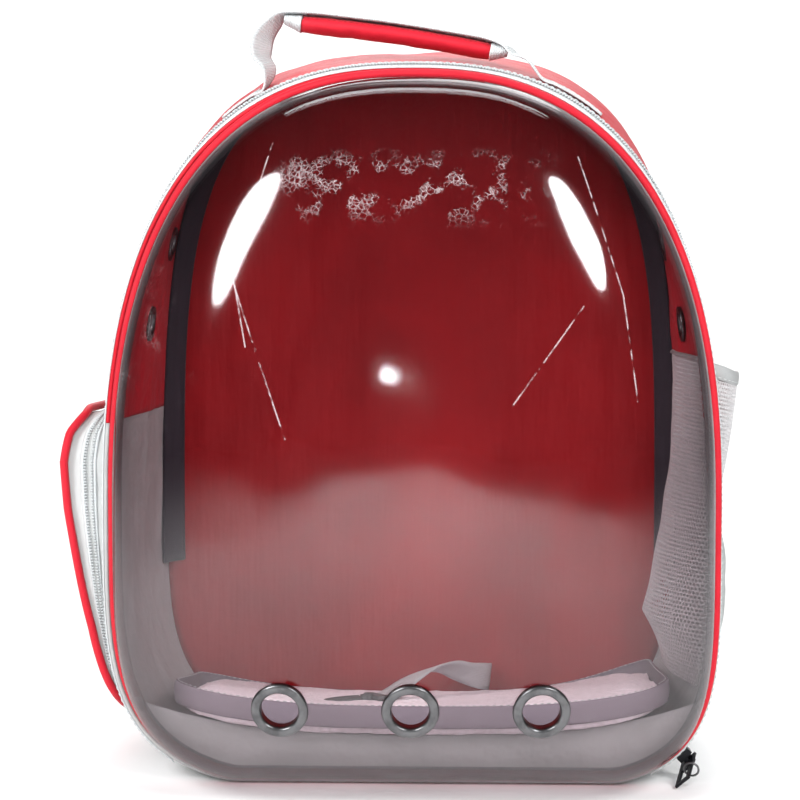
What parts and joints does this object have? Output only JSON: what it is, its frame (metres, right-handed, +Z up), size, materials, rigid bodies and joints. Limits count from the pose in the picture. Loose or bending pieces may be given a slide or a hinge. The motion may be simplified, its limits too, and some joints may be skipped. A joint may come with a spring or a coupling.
{
  "type": "bubble pet carrier backpack",
  "caption": "Fabric backpack for carrying a small pet: clear bulging front window with vent eyelets, floor mat, side pockets, top handle and padded shoulder straps.",
  "frame": {"origin": "centre of the flat base, where it rests on the floor", "axes": "+Z up, the clear dome faces -Y, +X is to the right as the dome is faced"},
  "size_m": [0.4159, 0.3225, 0.4587],
  "materials": {
    "clear_plastic": "clear, glossy, thin",
    "red_fabric": "woven, matte with a slight sheen",
    "red_piping": "tight woven cover, slight sheen",
    "red_satin": "satin lining",
    "grey_fabric": "woven, matte",
    "webbing": "ribbed webbing",
    "dark_tape": "woven tape",
    "fleece": "soft pile",
    "mat_edge": "woven binding",
    "net": "knitted net",
    "gunmetal": "polished dark",
    "black_metal": "black, glossy",
    "dark_plastic": "moulded"
  },
  "bodies": {
    "carrier": {"bubble_shell": "clear_plastic", "front_eyelet_left": "gunmetal", "front_eyelet_center": "gunmetal", "front_eyelet_right": "gunmetal", "front_piping": "red_piping", "front_zip": "webbing", "zip_slider": "black_metal", "upper_body": "red_fabric", "lower_body": "grey_fabric", "back_panel": "red_satin", "rear_binding": "dark_tape", "front_facing": "grey_fabric", "wall_eyelet_left_low": "gunmetal", "wall_eyelet_left_high": "gunmetal", "wall_eyelet_right_low": "gunmetal", "wall_eyelet_right_high": "gunmetal", "floor_mat": "fleece", "mat_binding": "mat_edge", "tether_strap": "webbing", "tether_hook": "dark_plastic", "inner_mesh": "net", "pocket_gusset": "grey_fabric", "pocket_zip": "webbing", "pocket_panel": "red_fabric", "pocket_piping": "red_piping", "bottle_net": "net", "bottle_rim": "grey_fabric", "lower_pouch": "grey_fabric", "pouch_zip": "webbing", "handle_grip": "red_piping", "handle_webbing": "webbing", "handle_wrap_left": "webbing", "handle_wrap_right": "webbing", "back_pad": "grey_fabric", "shoulder_strap_right": "red_fabric", "shoulder_strap_left": "red_fabric", "strap_webbing_right": "webbing", "strap_webbing_left": "webbing", "strap_adjuster_right": "dark_plastic", "strap_adjuster_left": "dark_plastic"},
    "zip_pull": {"zip_pull": "black_metal", "pull_ring": "gunmetal"}
  },
  "joints": [
    {"name": "zip_pull_hinge", "type": "hinge", "parent": "carrier", "child": "zip_pull", "pos_m": [0.16424, -0.07205, 0.01244], "axis": [-0.6458, 0.3746, -0.6653], "range_deg": [0, 15]}
  ]
}
